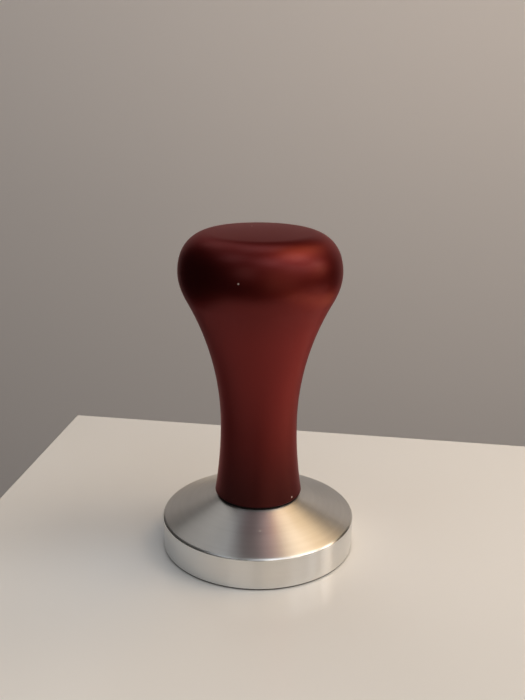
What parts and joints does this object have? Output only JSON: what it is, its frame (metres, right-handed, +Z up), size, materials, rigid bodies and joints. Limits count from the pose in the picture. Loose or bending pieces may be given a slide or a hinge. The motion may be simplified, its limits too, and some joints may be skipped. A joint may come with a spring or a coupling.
{
  "type": "espresso tamper",
  "caption": "Espresso tamper: a flat turned metal disc with a conical top, screwed to a waisted handle with a mushroom knob, for pressing ground coffee level in a filter basket.",
  "frame": {"origin": "centre of the flat tamping face, the bottom of the object's box", "axes": "+Z up the turning axis from the tamping face to the knob's crown; the object is round, so X and Y are free"},
  "size_m": [0.058, 0.058, 0.0971],
  "materials": {
    "base_metal": "satin turned, clear",
    "washer_black": "matte black",
    "handle_red": "satin maroon anodised",
    "stud_steel": "zinc plated, semi-bright"
  },
  "bodies": {
    "base": {"piston_base": "base_metal"},
    "washer": {"joint_washer": "washer_black"},
    "handle": {"handle": "handle_red", "joining_stud": "stud_steel"}
  },
  "joints": [
    {"name": "handle_lift", "type": "slide", "parent": "base", "child": "washer", "axis": [0, 0, 1], "range_m": [0, 0.01]},
    {"name": "handle_unscrew", "type": "hinge", "parent": "washer", "child": "handle", "pos_m": [0, 0, 0.0165], "axis": [0, 0, 1], "range_deg": [0, 2880]}
  ],
  "couplings": [
    {"joint": "handle_lift", "follows": "handle_unscrew", "m_per_rad": 0.00019894}
  ]
}
